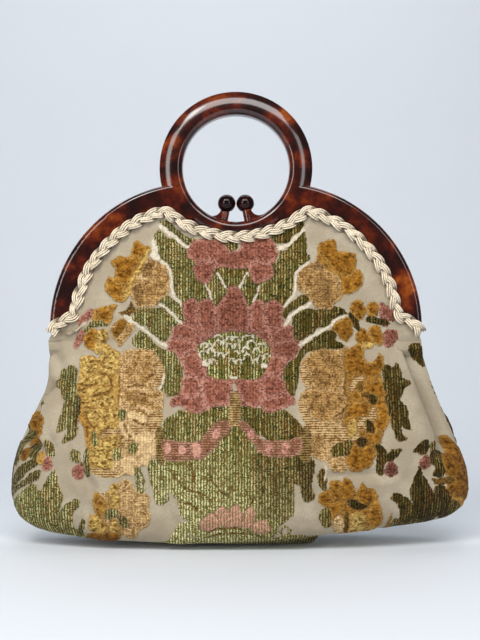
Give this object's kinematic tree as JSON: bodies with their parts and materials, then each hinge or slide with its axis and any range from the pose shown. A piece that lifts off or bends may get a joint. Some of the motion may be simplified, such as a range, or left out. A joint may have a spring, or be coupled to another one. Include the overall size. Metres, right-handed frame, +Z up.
{
  "type": "frame handbag",
  "caption": "Soft floral cloth pouch sewn to a hinged moulded arch frame with a ring handle and a ball clasp, edged with plaited braid; it stands on its base and opens at the top.",
  "frame": {"origin": "on the floor under the middle of the bag's base", "axes": "+X to the bag's right as seen from the front, the front faces -Y, +Z up"},
  "size_m": [0.337, 0.078, 0.334],
  "materials": {
    "tortoiseshell": "mottled brown and amber moulded plastic, polished",
    "clasp": "very dark brown plastic, polished",
    "pin": "plain rivet",
    "jacquard": "cut-pile floral weave in green, gold and rose on a cream ground",
    "lining": "plain smooth lining cloth",
    "braid": "ivory plaited cord braid"
  },
  "bodies": {
    "bag": {"back_frame": "tortoiseshell", "back_clasp_ball": "clasp", "left_hinge_pin": "pin", "right_hinge_pin": "pin", "front_panel": "jacquard", "back_panel": "jacquard", "front_lining": "lining", "back_lining": "lining", "back_braid": "braid"},
    "front": {"front_frame": "tortoiseshell", "front_clasp_ball": "clasp", "front_panel_top": "jacquard", "front_lining_top": "lining", "front_braid": "braid"}
  },
  "joints": [
    {"name": "frame_hinge", "type": "hinge", "parent": "bag", "child": "front", "pos_m": [0, 0, 0.15], "axis": [1, 0, 0], "range_deg": [0, 50]}
  ]
}
